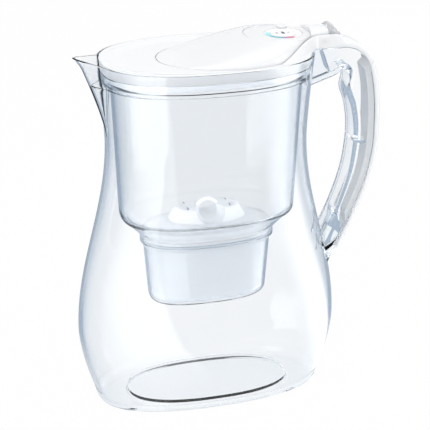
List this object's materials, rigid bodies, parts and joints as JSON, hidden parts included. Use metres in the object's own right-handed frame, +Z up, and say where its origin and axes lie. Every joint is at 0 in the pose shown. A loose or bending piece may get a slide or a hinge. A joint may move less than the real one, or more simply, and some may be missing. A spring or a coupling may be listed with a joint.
{
  "type": "water filter pitcher with flip lid",
  "caption": "Clear waisted pitcher with a spout and loop handle, a lift-out funnel reservoir with a filter cartridge, and a white lid with a hinged fill flap and a round meter.",
  "frame": {"origin": "centre of the outline on the surface that the pitcher stands on", "axes": "+Z up, +X from the spout towards the handle, +Y across the pitcher"},
  "size_m": [0.2317, 0.1066, 0.2855],
  "materials": {
    "clear_body": "clear polished",
    "clear_tank": "clear polished",
    "white_gloss": "gloss",
    "white_satin": "satin",
    "cartridge_white": "satin",
    "seal_grey": "soft",
    "filter_granules": "granular",
    "screen_plastic": "fine mesh",
    "pin_plastic": "smooth",
    "tab_grey": "translucent",
    "meter_shell": "fine",
    "meter_face": "printed",
    "meter_lens": "clear polished",
    "board_green": "laminate",
    "cell_steel": "brushed",
    "clip_brass": "plain"
  },
  "bodies": {
    "pitcher": {"jug": "clear_body", "handle_band": "white_gloss"},
    "reservoir": {"reservoir": "clear_tank"},
    "cartridge": {"cartridge_body": "cartridge_white", "cartridge_cap": "cartridge_white", "cartridge_seal": "seal_grey", "filter_bed": "filter_granules", "upper_screen": "screen_plastic", "lower_screen": "screen_plastic"},
    "lid": {"lid_frame": "white_gloss", "hinge_pin": "pin_plastic"},
    "flap": {"flip_lid": "white_gloss", "flip_lid_liner": "white_satin", "thumb_tab": "tab_grey", "meter_case": "meter_shell", "meter_bezel": "white_gloss", "meter_dial": "meter_face", "meter_window": "meter_lens", "meter_board": "board_green", "meter_cell": "cell_steel", "cell_clip": "clip_brass", "switch_dome": "cell_steel"},
    "button": {"meter_button": "white_gloss"}
  },
  "joints": [
    {"name": "reservoir_lift", "type": "slide", "parent": "pitcher", "child": "reservoir", "axis": [0, 0, 1], "range_m": [0, 0.2]},
    {"name": "cartridge_lift", "type": "slide", "parent": "reservoir", "child": "cartridge", "axis": [0, 0, 1], "range_m": [0, 0.075]},
    {"name": "lid_lift", "type": "slide", "parent": "reservoir", "child": "lid", "axis": [0, 0, 1], "range_m": [0, 0.06]},
    {"name": "flap_hinge", "type": "hinge", "parent": "lid", "child": "flap", "pos_m": [0.06981, 0, 0.275], "axis": [0, 1, 0], "range_deg": [0, 60]},
    {"name": "button_press", "type": "slide", "parent": "flap", "child": "button", "axis": [0, 0, -1], "range_m": [0, 0.0008], "stiffness_N_per_m": 500, "springref_m": -0.001}
  ]
}
